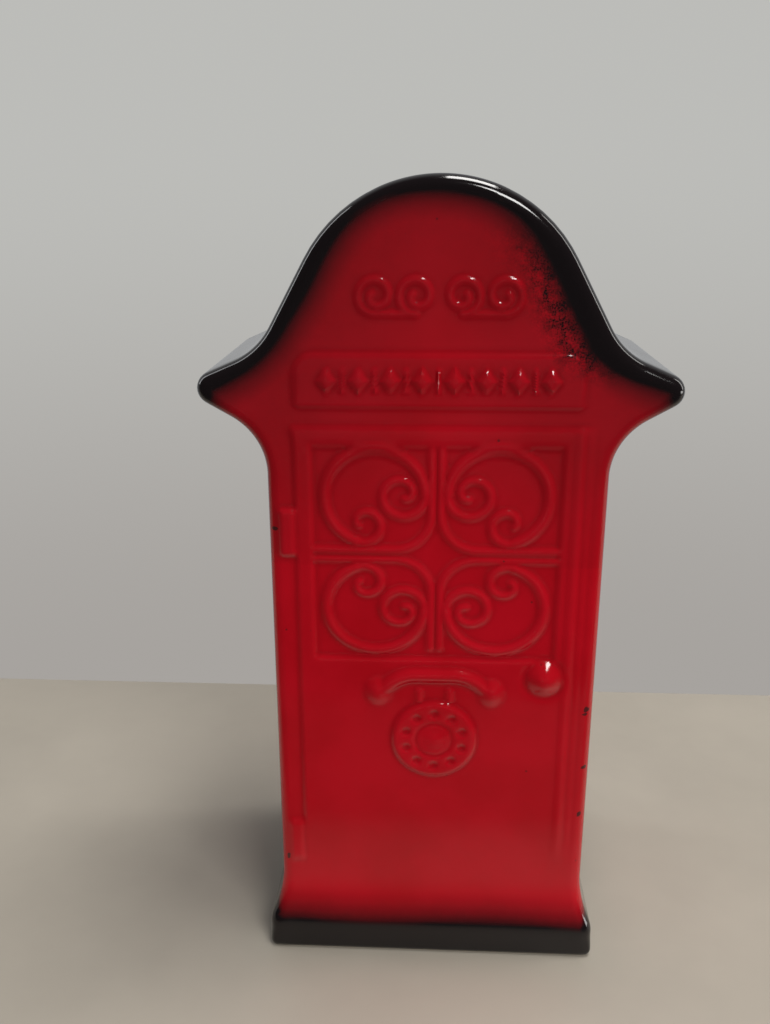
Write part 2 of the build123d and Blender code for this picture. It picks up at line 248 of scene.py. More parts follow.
# %% The sign's row of diamonds and the gable's running spirals
sign_middle = 140.1
sign_half_width, sign_half_height = 29.5, 5.5
diamond_places = np.linspace(-22.75, 22.75, 8)
spiral_height = 157.0
spiral_radius = 3.5
spiral_places = (4.6, 12.8)
spiral_foot = even([(place, spiral_height - spiral_radius) for place in spiral_places])


def sign_relief(x, z):
    """A plate with rounded top corners, and plain diamonds on it."""
    corner = np.where(z > sign_middle, 4.0, 0.8)
    over_x = np.abs(x) - sign_half_width + corner
    over_z = np.abs(z - sign_middle) - sign_half_height + corner
    outside = np.hypot(np.maximum(over_x, 0), np.maximum(over_z, 0)) - corner
    outside += np.minimum(np.maximum(over_x, over_z), 0)
    plate = 0.55 * (1 - soft_step(outside, 0, 1.5))
    stamps = np.zeros_like(x)
    for place in diamond_places:
        slant = np.abs(x - place) / 2.3 + np.abs(z - sign_middle) / 3.4
        stamps = np.maximum(stamps, np.clip(1.5 * (1 - slant), 0, 0.8))
    for place in (diamond_places[:-1] + diamond_places[1:]) / 2:
        bar = crest(np.abs(x - place), 0.6) * (1 - soft_step(np.abs(z - sign_middle), 2.6, 1.0))
        stamps = np.maximum(stamps, 0.5 * bar)
    return plate + 1.05 * stamps


def gable_relief(x, z):
    """A running wave: spirals that rise from one line, mirrored about the middle."""
    across = np.abs(x)
    row = ridge_along(across, z, spiral_foot, 1.1, 0.4)
    for place in spiral_places:
        spiral = even(curl((place, spiral_height), spiral_radius, 270, 5.2, 6.0, 1, 90), 0.25)
        row = np.maximum(row, ridge_along(across, z, spiral, 1.2, 0.45))
    return row


print(len(diamond_places), "diamonds and", 2 * len(spiral_places), "spirals")


# %% The emblem: a dial under a handset
dial_middle = (0.2, 58.0)
dial_radius, hole_ring, hole_count = 9.4, 6.6, 10
cup_place = (12.6, 69.8)


def emblem_relief(x, z):
    """A round dial with ten finger holes, and a handset lying over it."""
    gap = np.hypot(x - dial_middle[0], z - dial_middle[1])
    dial = 0.85 * (1 - soft_step(gap, dial_radius, 1.4))
    dial += 0.4 * crest(gap, 3.2) - 0.25 * crest(np.abs(gap - 4.1), 0.8)
    for hole in range(hole_count):
        angle = 2 * math.pi * hole / hole_count
        hole_x = dial_middle[0] + hole_ring * math.sin(angle)
        hole_z = dial_middle[1] + hole_ring * math.cos(angle)
        dial -= 0.6 * crest(np.hypot(x - hole_x, z - hole_z), 1.5)
    across = np.abs(x - dial_middle[0])
    grip = even(rounded_chain([(0, 74.0), (7.5, 74.0), (12.6, 69.5)], [9.0], 40))
    handset = ridge_along(across, z, grip, 2.4, 1.1)
    cup = crest(np.hypot(across - cup_place[0], (z - cup_place[1]) * 0.85), 3.7)
    cradle = ridge_along(across, z, [(3.4, 68.0), (3.4, 69.0), (3.4, 70.0)], 1.3, 0.5)
    return np.maximum.reduce([dial, handset, 1.25 * cup, cradle])


print("dial of", hole_count, "finger holes at", dial_middle)

# %% Everything that stands out on the front
door_half = 30.3
door_top = 130.5
door_fades_in = (30, 16)
window_bottom, window_top = 78.0, 126.4
stile_left, stile_right = 28.6, 32.2
hinge_left, hinge_right = -33.3, -30.1
hinge_places = ((102.0, 112.5, 0.95), (24.0, 35.0, 0.5))
groove_place = -30.2
knob_place = (24.5, 73.5)
knob_radius, knob_stand = 4.4, 2.0


def front_relief(x, z):
    """How far the front stands out from its plane, in millimetres."""
    door_fade = soft_step(z, *door_fades_in)
    height = 0.5 * pad(x, z, -door_half, door_half, 0, door_top, 1.6) * door_fade
    height -= 0.65 * pad(x, z, -window_half, window_half, window_bottom, window_top, 1.4)
    height += 0.25 * pad(x, z, stile_left, stile_right, 0, door_top, 1.2) * door_fade
    groove = crest(np.abs(x - groove_place), 0.9) * soft_step(z, 24, 6)
    groove *= 1 - soft_step(z, 128, 3)
    height -= 0.22 * groove
    height += window_relief(x, z) + sign_relief(x, z) + gable_relief(x, z) + emblem_relief(x, z)
    for bottom, top, stand in hinge_places:
        height += stand * pad(x, z, hinge_left, hinge_right, bottom, top, 1.4)
    knob_gap = np.hypot(x - knob_place[0], z - knob_place[1])
    height += knob_stand * np.clip(1 - (knob_gap / knob_radius) ** 2, 0, 1) ** 1.6
    height -= 0.12 * crest(np.abs(knob_gap - 4.6), 1.3)
    return height


print("the knob stands out", round(float(front_relief(*np.array(knob_place)[:, None])[0]), 2), "mm")

# %% Plain windows on the sides, and the wall's waviness
side_half, bar_half = 15.9, 1.7
side_bottom, side_top = 79.9, 124.3


def side_relief(y, z):
    """Plain four-pane windows on the sides: a frame and a cross of rounded bars."""
    inside = pad(np.abs(y), z, -1, side_half + 1.0, side_bottom - 1.3, side_top + 1.3, 1.0)
    bars = np.maximum.reduce([
        crest(np.abs(np.abs(y) - side_half), bar_half),
        crest(np.abs(y), bar_half),
        crest(np.abs(z - side_bottom), bar_half),
        crest(np.abs(z - side_top), bar_half),
        crest(np.abs(z - window_middle), bar_half),
    ])
    return 0.85 * bars * inside


def cast_wave(a, b):
    """The slight waviness of a slip-cast wall, 0 to 1."""
    wave = np.sin(a / 11.0 + 0.6 * np.sin(b / 17.0))
    wave = wave + np.sin(b / 13.0 + 1.1 * np.sin(a / 19.0) + 2.0)
    return 0.5 + 0.25 * wave


print("side windows", 2 * side_half, "by", round(side_top - side_bottom, 1), "mm")


# %% [markdown]
# ## The shell as rows and columns
# The outer skin is a grid: rows climb the outline, columns cross the front, and a ring
# of columns carries each row round the soft front edge, along the side and round the
# back edge. Rows are close together where the relief is fine and wide apart where the
# surface is plain. A grid made this way has clean edge flow, so the gloss runs
# smoothly over it, which a sculpt or a remesh would not give at this face count.

# %% Choose the rows
def row_spacing(z):
    """Distance between rows at this height, in millimetres."""
    bands = [(2, 0.45), (20, 1.1), (37, 0.85), (48, 0.65), (122, 0.48), (150, 0.75),
             (166, 0.52)]
    for top, spacing in bands:
        if z < top:
            return spacing
    return 1.0


spacings = np.array([row_spacing(z) for z in fine_line[:line_end, 1]])
rows_passed = np.concatenate([[0], np.cumsum(fine_step / spacings[:-1])])
row_count = int(round(rows_passed[-1]))
even_rows = np.linspace(0, rows_passed[-1], row_count + 1)
row_marks = np.interp(even_rows, rows_passed, fine_run[:line_end])


def on_outline(marks):
    """Points and outward normals of the outline at these distances along it."""
    reach = 0.3
    behind, spot, ahead = (
        np.stack([np.interp(marks + shift, fine_run, fine_line[:, axis]) for axis in (0, 1)], 1)
        for shift in (-reach, 0, reach)
    )
    along = ahead - behind
    along /= np.linalg.norm(along, axis=1)[:, None]
    return spot, np.stack([along[:, 1], -along[:, 0]], 1)


row_spots, row_normals = on_outline(row_marks)
row_spots[0] = (half_width + flare - foot_corner, 0)
row_normals[0] = (0, -1)
row_spots[-1] = (crown_start, crown_centre + math.sqrt(crown_radius**2 - crown_start**2))
row_normals[-1] = ((row_spots[-1] - (0, crown_centre)) / crown_radius)
foot_edge = foot_corner - 0.1
row_edge = foot_edge + (edge_radius - foot_edge) * soft_step(row_spots[:, 1], 3.4, 3.8)
print("rows", row_count + 1)


# %% How deep the booth is at each height
flare_z = fine_line[:past_tip, 1]
flare_x = fine_line[:past_tip, 0] - half_width


def depth_at(z):
    """Half the depth of the booth at this height, plinth included."""
    plinth = np.interp(z, flare_z, flare_x)
    return half_depth + np.where(z < foot_corner, flare, np.where(z < 60, plinth, 0))


print("half depth at the foot and the door", depth_at(np.array([1.0, 50.0])).round(2))


# %% Lay out the front face
column_count = 140
columns = np.linspace(-1, 1, column_count + 1)
inner = row_spots - row_edge[:, None] * row_normals
crown_from = 160
crown_inner = crown_radius - edge_radius
crown_reach = inner[-1, 0]
crown_rise = np.sqrt(crown_inner**2 - (columns * crown_reach) ** 2)
crown_rise -= crown_rise[0]
crown_share = soft_step(inner[:, 1], (crown_from + inner[-1, 1]) / 2, inner[-1, 1] - crown_from)
front_x = inner[:, :1] * columns
front_z = inner[:, 1:] + crown_share[:, None] * crown_rise
front_y = -depth_at(front_z) - front_relief(front_x, front_z)
edge_fade = soft_step(1 - np.abs(columns), 0.06, 0.1)
front_y += 0.22 * edge_fade * cast_wave(front_x, front_z)
print("front face", front_x.shape)

# %% Places of the ring's columns
bend = np.radians([0, 18, 36, 54, 72, 90])
flat_half = half_depth - edge_radius
bar_steps = np.array([-1.7, -1.1, -0.5, 0.0, 0.5, 1.1, 1.7])
right_flats = np.concatenate([[-bar_steps[0]], [4.5, 9.0], side_half + bar_steps, [20.5]])
mid_flats = np.concatenate([-right_flats[::-1], bar_steps[1:-1], right_flats])
ring_columns = [("front", angle) for angle in bend]
ring_columns += [("side", place / flat_half) for place in mid_flats]
ring_columns += [("back", angle) for angle in bend[::-1]]
print("ring columns", len(ring_columns))


# %% Walk round the ring, column by column
def ring_loop():
    """Outline points all round: up the right, over the crown, down the left, along the foot."""
    crown_x = columns[-2:0:-1] * crown_reach * crown_radius / crown_inner
    crown_spots = np.stack([crown_x, crown_centre + np.sqrt(crown_radius**2 - crown_x**2)], 1)
    crown_normals = (crown_spots - (0, crown_centre)) / crown_radius
    foot_x = columns[1:-1] * row_spots[0, 0]
    foot_spots = np.stack([foot_x, np.zeros_like(foot_x)], 1)
    foot_normals = np.tile([0.0, -1.0], (len(foot_x), 1))
    mirror = np.array([-1.0, 1.0])
    spots = np.concatenate([row_spots, crown_spots, row_spots[::-1] * mirror, foot_spots])
    normals = np.concatenate([row_normals, crown_normals, row_normals[::-1] * mirror,
                              foot_normals])
    edges = np.concatenate([row_edge, np.full(len(crown_x), edge_radius), row_edge[::-1],
                            np.full(len(foot_x), row_edge[0])])
    return spots, normals, edges


loop_spots, loop_normals, loop_edges = ring_loop()
loop_count = len(loop_spots)


def ring_column(part, place):
    """The x, y, z of one column of the ring, all round the loop."""
    radius = loop_edges
    if part == "side":
        spots = loop_spots.copy()
        y = place * (depth_at(spots[:, 1]) - radius)
        sideways = np.abs(loop_normals[:, 0])
        stand = side_relief(y, spots[:, 1]) * (sideways > 0.99)
        stand -= 0.2 * cast_wave(y, spots[:, 1]) * (sideways > 0.9) * (1 - place**4)
        spots += loop_normals * stand[:, None]
        return spots[:, 0], y, spots[:, 1]
    spots = loop_spots - loop_normals * (radius * (1 - math.sin(place)))[:, None]
    y = depth_at(spots[:, 1]) - radius * (1 - math.cos(place))
    if part == "front":
        y = -y - front_relief(spots[:, 0], spots[:, 1]) * math.cos(place)
    return spots[:, 0], y, spots[:, 1]


print("each ring column has", loop_count, "points")

# %% Join the columns into one closed skin
right_row = np.arange(row_count + 1)
crown_part = row_count + 1 + np.arange(column_count - 1)
left_row = row_count + column_count + np.arange(row_count + 1)
foot_part = 2 * row_count + column_count + 1 + np.arange(column_count - 1)
points = [np.stack([front_x, front_y, front_z], -1).reshape(-1, 3)]
front_index = np.arange(front_x.size).reshape(front_x.shape)
first_ring = np.empty(loop_count, int)
first_ring[right_row] = front_index[:, -1]
first_ring[crown_part] = front_index[-1, -2:0:-1]
first_ring[left_row] = front_index[::-1, 0]
first_ring[foot_part] = front_index[0, 1:-1]
faces = []


def add_quads(grid):
    """Quads over a grid of vertex numbers, wound so that they face outwards."""
    a, b, c, d = grid[:-1, :-1], grid[:-1, 1:], grid[1:, 1:], grid[1:, :-1]
    faces.extend(np.stack([a, b, c, d], -1).reshape(-1, 4).tolist())


add_quads(front_index)
rings = [first_ring]
made = front_x.size
for part, place in ring_columns[1:]:
    points.append(np.stack(ring_column(part, place), -1))
    rings.append(made + np.arange(loop_count))
    made += loop_count
ring_grid = np.array(rings).T
add_quads(np.concatenate([ring_grid, ring_grid[:1]]))
print("skin so far", made, "points")

# %% Close the back with a few wide columns
back_ring = rings[-1]
back_columns = columns[20:-1:20]
back_x = inner[:, :1] * back_columns
back_z = np.repeat(inner[:, 1:], len(back_columns), axis=1)
back_y = depth_at(back_z) - 0.2 * cast_wave(back_x + 40, back_z)
keep = slice(1, row_count)
points.append(np.stack([back_x, back_y, back_z], -1)[keep].reshape(-1, 3))
middle_index = made + np.arange((row_count - 1) * len(back_columns)).reshape(row_count - 1, -1)
left_edge = back_ring[left_row][::-1][keep, None]
right_edge = back_ring[right_row][keep, None]
back_grid = np.concatenate([left_edge, middle_index, right_edge], 1)
add_quads(back_grid[:, ::-1])
foot_side = [back_ring[left_row][-1], *back_ring[foot_part], back_ring[right_row][0]]
crown_side = [back_ring[right_row][-1], *back_ring[crown_part], back_ring[left_row][0]]
faces.append(foot_side[::-1] + back_grid[0].tolist())
faces.append(crown_side[::-1] + back_grid[-1, ::-1].tolist())
print("faces", len(faces))


# %% Make the mesh
def mesh_object(name, vertices, face_list):
    """A new object in the scene from points in millimetres."""
    mesh = bpy.data.meshes.new(name)
    mesh.from_pydata([tuple(float(v) for v in point) for point in np.asarray(vertices) * mm],
                     [], [[int(v) for v in face] for face in face_list])
    made_object = bpy.data.objects.new(name, mesh)
    bpy.context.scene.collection.objects.link(made_object)
    return made_object


glazed_shell = mesh_object("glazed_shell", np.concatenate(points), faces)
skin = bmesh.new()
skin.from_mesh(glazed_shell.data)
bmesh.ops.recalc_face_normals(skin, faces=skin.faces)
print("open edges", sum(not edge.is_manifold for edge in skin.edges), "volume cm3",
      round(skin.calc_volume() / mm**3 / 1000, 1))
skin.to_mesh(glazed_shell.data)
skin.free()

# %% [markdown]
# ## Hollow it out
# The real shell is hollow because the mould is drained after a few minutes, then the
# slot and the base hole are cut while the clay is soft, and sponged round. Cutting
# solids are made the same way here and taken away with booleans: the room inside, the
# coin slot with a lip that rolls outwards, the hole for the trap and the recess
# inside the foot. The manifold solver is quick on a closed mesh this dense.

# %% Cutting solids from stacked loops
def stacked_loops(name, loops):
    """A closed solid through loops of equal count, capped at both ends."""
    count = len(loops[0])
    face_list = [[level * count + k, level * count + (k + 1) % count,
                  (level + 1) * count + (k + 1) % count, (level + 1) * count + k]
                 for level in range(len(loops) - 1) for k in range(count)]
    last = (len(loops) - 1) * count
    face_list += [list(range(count))[::-1], list(range(last, last + count))]
    solid = mesh_object(name, np.concatenate(loops), face_list)
    checked = bmesh.new()
    checked.from_mesh(solid.data)
    bmesh.ops.recalc_face_normals(checked, faces=checked.faces)
    checked.to_mesh(solid.data)
    checked.free()
    return solid


def slot_loop(half_length, half_thickness, z, count=24):
    """A round-ended slot along Y at this height."""
    straight = half_length - half_thickness
    angles = np.linspace(0, math.pi, count)
    far = np.stack([half_thickness * np.cos(angles), straight + half_thickness * np.sin(angles)], 1)
    ends = np.concatenate([far, -far])
    return np.column_stack([ends, np.full(len(ends), z)])


def ring_at(radius, z, count=128):
    """A circle round the z axis."""
    angles = np.linspace(0, 2 * math.pi, count, endpoint=False)
    return np.column_stack([radius * np.cos(angles), radius * np.sin(angles), np.full(count, z)])


print("a slot's loop has", len(slot_loop(19, 2.5, 0)), "points, a hole's", len(ring_at(18, 0)))


# %% The room inside
roof_slope = math.radians(61.2)
shoulder_x = half_width - wall
lean = math.pi / 2 - roof_slope
inner_crown = crown_radius - wall
shoulder_z = crown_centre + (inner_crown - shoulder_x * math.cos(lean)) / math.sin(lean)
inner_apex = crown_centre + inner_crown / math.sin(lean)
floor_top = 7.5
room_line = rounded_chain(
    [(0, floor_top), (shoulder_x, floor_top), (shoulder_x, shoulder_z), (0, inner_apex),
     (-shoulder_x, shoulder_z), (-shoulder_x, floor_top), (-1e-3, floor_top)],
    [2.2, 6.0, inner_crown, 6.0, 2.2], 16)
room_half = half_depth - wall


def room_loop(y, inset):
    """The room's outline at this depth, drawn in a little near the front and back."""
    middle = np.array([0, 90.0])
    drawn_in = middle + (room_line - middle) * (1 - inset / 60)
    drawn_in[:, 1] = np.maximum(drawn_in[:, 1], floor_top)
    return np.column_stack([drawn_in[:, 0], np.full(len(drawn_in), y), drawn_in[:, 1]])


soft_depths = [(-room_half, 1.6), (-room_half + 0.5, 0.7), (-room_half + 1.6, 0.0),
               (room_half - 1.6, 0.0), (room_half - 0.5, 0.7), (room_half, 1.6)]
room = stacked_loops("room_cut", [room_loop(y, inset) for y, inset in soft_depths])
print("room points", len(room.data.vertices))

# %% Slot, base hole and foot recess
slot_half_length, slot_half, lip = 19.0, 2.5, 1.0
lip_top = total_height - 0.1
slot_loops = [slot_loop(slot_half_length, slot_half, z) for z in (150.0, lip_top - lip)]
for share in np.radians([20, 40, 58, 74, 86]):
    grow = lip * (1 - math.cos(share))
    slot_loops.append(slot_loop(slot_half_length + grow, slot_half + grow,
                                lip_top - lip * (1 - math.sin(share))))
slot_loops.append(slot_loop(slot_half_length + lip, slot_half + lip, total_height + 3))
slot_cut = stacked_loops("slot_cut", slot_loops)

hole_radius, recess_depth, foot_rim, rim_round = 18.0, 3.0, 7.0, 0.7
hole_cut = stacked_loops("hole_cut", [
    ring_at(hole_radius + 0.6, recess_depth - 1), ring_at(hole_radius + 0.6, recess_depth),
    ring_at(hole_radius + 0.18, recess_depth + 0.2), ring_at(hole_radius, recess_depth + 0.6),
    ring_at(hole_radius, floor_top - 0.6), ring_at(hole_radius + 0.18, floor_top - 0.2),
    ring_at(hole_radius + 0.6, floor_top), ring_at(hole_radius + 0.6, floor_top + 1)])


def recess_loop(grow, z):
    """The rounded rectangle inside the foot rim."""
    a = half_width + flare - foot_rim + grow
    b = half_depth + flare - foot_rim + grow
    corners_here = [(0, -b), (a, -b), (a, b), (-a, b), (-a, -b), (-1e-3, -b)]
    loop = rounded_chain(corners_here, [5 + grow] * 4, 8)
    return np.column_stack([loop, np.full(len(loop), z)])


recess_cut = stacked_loops("recess_cut", [
    recess_loop(rim_round + 0.4, -2.0), recess_loop(rim_round, 0.0), recess_loop(0.2, 0.35),
    recess_loop(0.0, 0.9), recess_loop(0.0, recess_depth - 0.5), recess_loop(-0.5, recess_depth)])
print("cutters", [cutter.name for cutter in (room, slot_cut, hole_cut, recess_cut)])

# %% Cut them all from the shell
for cutter in (room, slot_cut, hole_cut, recess_cut):
    cut = glazed_shell.modifiers.new(cutter.name, "BOOLEAN")
    cut.operation = "DIFFERENCE"
    cut.solver = "MANIFOLD"
    cut.object = cutter
cut_mesh = bpy.data.meshes.new_from_object(
    glazed_shell.evaluated_get(bpy.context.evaluated_depsgraph_get()))
glazed_shell.modifiers.clear()
glazed_shell.data = cut_mesh
for cutter in (room, slot_cut, hole_cut, recess_cut):
    bpy.data.objects.remove(cutter)
cut_mesh.shade_smooth()
cut_mesh.set_sharp_from_angle(angle=math.radians(40))
triangles = sum(len(face.vertices) - 2 for face in cut_mesh.polygons)
print("shell", len(cut_mesh.vertices), "points", triangles, "triangles")

# %% [markdown]
# ## Where paint, pooling and bare clay go
# After the red glaze the maker sprays black along the roof edge and the plinth. How
# black a spot is depends on its distance from the roof's upper outline, so that
# distance is measured for every vertex, and the colour node graph only has to break
# the fade up into droplets. Four more values are stored the same way: where the fade
# is ragged, a few small chips, where glaze runs thin over a crest or pools in a hollow,
# and where the clay is left bare, which is the inside, the foot's underside and the
# cut hole.

# %% Distance from the roof's upper outline
spots = np.array([vertex.co[:] for vertex in cut_mesh.vertices]) / mm
roof_line = fine_line[past_tip:line_end:16]
crown_x = np.linspace(crown_start, 0, 14)
crown_line = np.stack([crown_x, crown_centre + np.sqrt(crown_radius**2 - crown_x**2)], 1)
roof_line = np.concatenate([roof_line, crown_line])
roof_gap = np.full(len(spots), 60.0)
upper = spots[:, 2] > 100
gaps = np.hypot(np.abs(spots[upper, 0])[:, None] - roof_line[:, 0],
                spots[upper, 2][:, None] - roof_line[:, 1])
roof_gap[upper] = gaps.min(1)
print("roof spray over", int((roof_gap < 12).sum()), "vertices")

# %% Sprayed black on the roof and the plinth
x, y, z = spots.T
towards_right = soft_step(x, 16, 20)
crown_top = soft_step(z, 170, 14)
slope_right = towards_right * soft_step(z, 142, 8) * (1 - crown_top)
solid_width = 3.2 + 1.6 * slope_right - 0.4 * crown_top + 0.5 * np.sin(x / 7.0 + z / 9.0)
fade_width = 15.0 + 6.0 * slope_right - 1.0 * crown_top
spray = (1 - np.clip((roof_gap - solid_width) / fade_width, 0, 1)) ** (2.0 - 0.1 * slope_right)
# Up to about half black, fading out 50 mm from the roof's outline, so the gable is darker towards the roof.
near_roof_darkening = 0.46 * (1 - np.clip(roof_gap / 50, 0, 1))
spray = np.maximum(spray, near_roof_darkening)
fade_start = 8.0 + 0.4 * np.sin(x / 9.0) + 3.5 * soft_step(np.abs(x), 37.0, 2.4)
plinth_fade = (1 - np.clip((z - fade_start) / 8.0, 0, 1)) ** 1.3
spray = np.maximum(spray, plinth_fade)
blotch = slope_right * (1 - np.clip(np.abs(roof_gap - 8.5) / 6, 0, 1))
print("black over", int((spray > 0.5).sum()), "vertices, ragged over", int((blotch > 0.5).sum()))

# %% Chips along the edges, and bare clay
chips = np.zeros(len(spots))
chip_places = ((34.3, 66.0, 0.5), (33.9, 64.8, 0.35), (34.7, 51.0, 0.4), (34.4, 38.5, 0.4),
               (-34.6, 108.0, 0.4), (-34.2, 24.5, 0.4))
for chip_x, chip_z, size in chip_places:
    from_chip = np.hypot(np.hypot(x - chip_x, z - chip_z), 0.5 * (y + half_depth))
    chips = np.maximum(chips, np.clip(2 * (1 - from_chip / (2 * size)), 0, 1))
inside = (np.abs(x) < shoulder_x + 0.6) & (np.abs(y) < room_half + 0.05)
inside &= (roof_gap > wall - 1.2) & (z > floor_top - 0.4)
by_hole = (np.hypot(x, y) < hole_radius + 1) & (z < floor_top + 1)
bare = np.where(inside | by_hole, 1.0, 0.0)
bare = np.maximum(bare, 1 - soft_step(z, 0.25, 0.4))
print("chipped", int((chips > 0.35).sum()), "bare", int(bare.sum()))

# %% Thin glaze on crests, pooled glaze in hollows
probes = [(1.3 * math.cos(a), 1.3 * math.sin(a)) for a in np.radians(np.arange(0, 360, 60))]
on_front = y < -half_depth + 1.5
face_x, face_z = x[on_front], z[on_front]
around = np.mean([front_relief(face_x + dx, face_z + dz) for dx, dz in probes], axis=0)
thin = np.zeros(len(spots))
thin[on_front] = np.clip((front_relief(face_x, face_z) - around) / 0.25, -1, 1)
print("crests", int((thin > 0.3).sum()), "hollows", int((thin < -0.3).sum()))


# %% Store them on the mesh
def store(mesh, name, values):
    """A named value for every vertex, for the material to read."""
    layer = mesh.attributes.new(name, "FLOAT", "POINT")
    layer.data.foreach_set("value", np.asarray(values, np.float32))


store(cut_mesh, "spray", spray)
store(cut_mesh, "blotch", blotch)
store(cut_mesh, "chips", chips)
store(cut_mesh, "thin", thin)
store(cut_mesh, "bare", bare)
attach(glazed_shell, "booth")
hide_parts("booth_shell")
print("stored", [layer.name for layer in cut_mesh.attributes if layer.data_type == "FLOAT"])

# %% [markdown]
# ## Shader helpers and shared effects
# Four effects are node groups with their own sockets, each built once: fine droplets
# that break up an edge, for the black and for the bare clay, a skin of tiny ripples for
# the glaze, slow drifting tone for each of the booth's finishes, and scratches for the
# metals. They put out only values, and each material decides what its shader does with
# them.

# %% Node helpers
def place(tree, kind, settings=None, **inputs):
    """Adds a node, sets its properties, and links or sets its inputs by name."""
    node = tree.nodes.new(kind)
    for key, value in (settings or {}).items():
        setattr(node, key, value)
    for key, value in inputs.items():
        numbered = key[0] == "i" and key[1:].isdigit()
        socket = node.inputs[int(key[1:]) if numbered else key.replace("_", " ")]
        if isinstance(value, bpy.types.NodeSocket):
            tree.links.new(value, socket)
        else:
            socket.default_value = value
    return node


def maths(tree, operation, first, second=0.0, third=None, clamp=False):
    """One sum on two or three values."""
    node = place(tree, "ShaderNodeMath", {"operation": operation, "use_clamp": clamp},
                 i0=first, i1=second)
    if third is not None:
        if isinstance(third, bpy.types.NodeSocket):
            tree.links.new(third, node.inputs[2])
        else:
            node.inputs[2].default_value = third
    return node.outputs[0]


def blend(tree, share, first, second):
    """Mixes two colours by a share from 0 to 1."""
    node = place(tree, "ShaderNodeMix", {"data_type": "RGBA"})
    sockets = (node.inputs[0], node.inputs[6], node.inputs[7])
    for socket, value in zip(sockets, (share, first, second)):
        if isinstance(value, bpy.types.NodeSocket):
            tree.links.new(value, socket)
        else:
            socket.default_value = value
    return node.outputs[2]


def remap(tree, value, low_in, high_in, low_out=0.0, high_out=1.0):
    """Stretches a value from one range to another, held at both ends."""
    node = place(tree, "ShaderNodeMapRange", {"interpolation_type": "SMOOTHSTEP"},
                 i0=value, i1=low_in, i2=high_in, i3=low_out, i4=high_out)
    return node.outputs[0]


print("node helpers ready")


# %% Helpers for the shared effects
def effect(name, wanted, given):
    """An empty node group with float inputs and outputs, and its two end nodes."""
    group = bpy.data.node_groups.new(name, "ShaderNodeTree")
    for socket_name, value in wanted.items():
        socket = group.interface.new_socket(socket_name, in_out="INPUT",
                                            socket_type="NodeSocketFloat")
        socket.default_value = value
    for socket_name in given:
        group.interface.new_socket(socket_name, in_out="OUTPUT", socket_type="NodeSocketFloat")
    way_in, way_out = (group.nodes.new(kind) for kind in ("NodeGroupInput", "NodeGroupOutput"))
    return group, way_in.outputs, way_out.inputs


def object_space(tree):
    """Places on the piece itself, so that a pattern stays with it."""
    return tree.nodes.new("ShaderNodeTexCoord").outputs["Object"]


def noise(tree, scale, detail=3.0, roughness=0.5, stretch=None):
    """Noise in object space, so that it stays with the piece."""
    where = object_space(tree)
    if stretch:
        where = place(tree, "ShaderNodeMapping", None, Vector=where, Scale=stretch).outputs[0]
    return place(tree, "ShaderNodeTexNoise", None, Vector=where, Scale=scale, Detail=detail,
                 Roughness=roughness).outputs[0]


def seated(tree, group, **values):
    """The outputs of a shared effect placed in this material."""
    return place(tree, "ShaderNodeGroup", {"node_tree": group}, **values).outputs


print("effect helpers ready")


# %% Droplets: a soft fade broken into sprayed specks
droplets, given, wanted = effect("Spray droplets", {"Cover": 0.0, "Ragged": 0.3}, ["Mask"])
fine = noise(droplets, 2600, 2)
coarse = noise(droplets, 420, 4, 0.6)
coarse_part = maths(droplets, "MULTIPLY", coarse, 0.55)
speckle = maths(droplets, "ADD", maths(droplets, "MULTIPLY", fine, 0.45), coarse_part)
shift = maths(droplets, "MULTIPLY", maths(droplets, "SUBTRACT", speckle, 0.5), given["Ragged"])
uncovered = maths(droplets, "SUBTRACT", 1.0, given["Cover"])
in_fade = maths(droplets, "MULTIPLY", given["Cover"], uncovered)
moved = maths(droplets, "MULTIPLY", shift, in_fade)
broken = maths(droplets, "MULTIPLY_ADD", moved, 24.0, given["Cover"], clamp=True)
droplets.links.new(broken, wanted["Mask"])
print("droplets take", len(droplets.nodes), "nodes")

# %% Ripples: the skin of a fired glaze
ripples, given, wanted = effect("Glaze ripples", {"Size": 300.0}, ["Height"])
quick = place(ripples, "ShaderNodeTexNoise", None, Vector=object_space(ripples),
              Scale=given["Size"], Detail=1.5, Roughness=0.4).outputs[0]
slow = noise(ripples, 60, 2)
height = maths(ripples, "ADD", maths(ripples, "MULTIPLY", quick, 0.35), slow)
ripples.links.new(height, wanted["Height"])
print("ripples take", len(ripples.nodes), "nodes")

# %% Drift: slow changes of tone over a surface
drift, given, wanted = effect("Slow drift", {"Low": 0.35, "High": 0.65}, ["Share"])
wide = noise(drift, 38, 4, 0.55)
drift.links.new(remap(drift, wide, given["Low"], given["High"]), wanted["Share"])
print("drift takes", len(drift.nodes), "nodes")

# %% Scratches: short strokes on handled metal
scratches, given, wanted = effect("Fine scratches", {"Amount": 0.5}, ["Strokes", "Stain"])
along = noise(scratches, 900, 3, 0.6, (1.0, 0.04, 0.3))
across = noise(scratches, 900, 3, 0.6, (0.05, 1.0, 0.3))
strokes = maths(scratches, "MAXIMUM", remap(scratches, along, 0.62, 0.78),
                remap(scratches, across, 0.64, 0.8))
scratches.links.new(maths(scratches, "MULTIPLY", strokes, given["Amount"]), wanted["Strokes"])
scratches.links.new(remap(scratches, noise(scratches, 160, 5, 0.6), 0.4, 0.75), wanted["Stain"])
print("shared effects", [group.name for group in bpy.data.node_groups])

# %% [markdown]
# ## The glaze
# A low-fire gloss glaze is a coloured glassy layer: a strong red body colour under a
# clear, hard shine. One shader with a clear coat says that well. The red drifts a
# little in depth, goes a touch lighter where it runs thin over crests and darker where
# it pools, and the black sits in the same glassy skin. Small pits near the edges and
# crawled specks are what a cheap cast piece shows. Bare clay takes over by its mask.

# %% Build the glaze
glaze = bpy.data.materials.new("red_glaze_black_spray")
glaze.use_nodes = True
tree = glaze.node_tree
shader = tree.nodes["Principled BSDF"]


